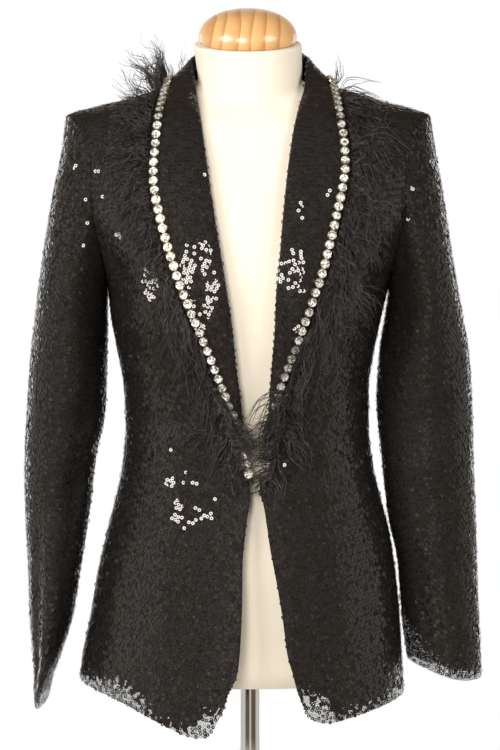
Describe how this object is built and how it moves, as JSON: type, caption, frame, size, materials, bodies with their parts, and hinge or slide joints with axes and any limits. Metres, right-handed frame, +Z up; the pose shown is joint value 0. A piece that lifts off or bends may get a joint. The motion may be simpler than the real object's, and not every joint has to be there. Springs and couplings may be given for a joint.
{
  "type": "sequined shawl-collar blazer on dress form",
  "caption": "Hip-length black sequined blazer with shawl collar, crystal chain and feather trim, hooked shut on a limbless jersey dress form with round base.",
  "frame": {"origin": "centre of the base plate's underside", "axes": "+Z up along the pole, the blazer's front towards -Y, the wearer's right side towards -X"},
  "size_m": [0.4896, 0.3, 0.9437],
  "materials": {
    "sequined_net": "black net set with small flat sequins",
    "sequin": "glossy black film",
    "crystal": "clear faceted crystal, silvered behind",
    "chain_cup": "darkened antique gold",
    "ostrich_feather": "soft brown-black down",
    "black_wire": "black lacquered wire",
    "cream_jersey": "fine matt cotton jersey",
    "varnished_pine": "clear satin varnish",
    "stand_chrome": "polished"
  },
  "bodies": {
    "root": {"front_right": "sequined_net", "front_left": "sequined_net", "back": "sequined_net", "sleeve_right": "sequined_net", "sleeve_left": "sequined_net", "collar_right": "sequined_net", "collar_left": "sequined_net", "crystal_chain_right": "crystal", "crystal_chain_left": "crystal", "feather_trim_right": "ostrich_feather", "feather_trim_left": "ostrich_feather", "hook": "black_wire", "eye": "black_wire", "form_torso": "cream_jersey", "form_neck_cap": "varnished_pine", "form_pole": "stand_chrome", "form_base": "stand_chrome"}
  },
  "joints": []
}
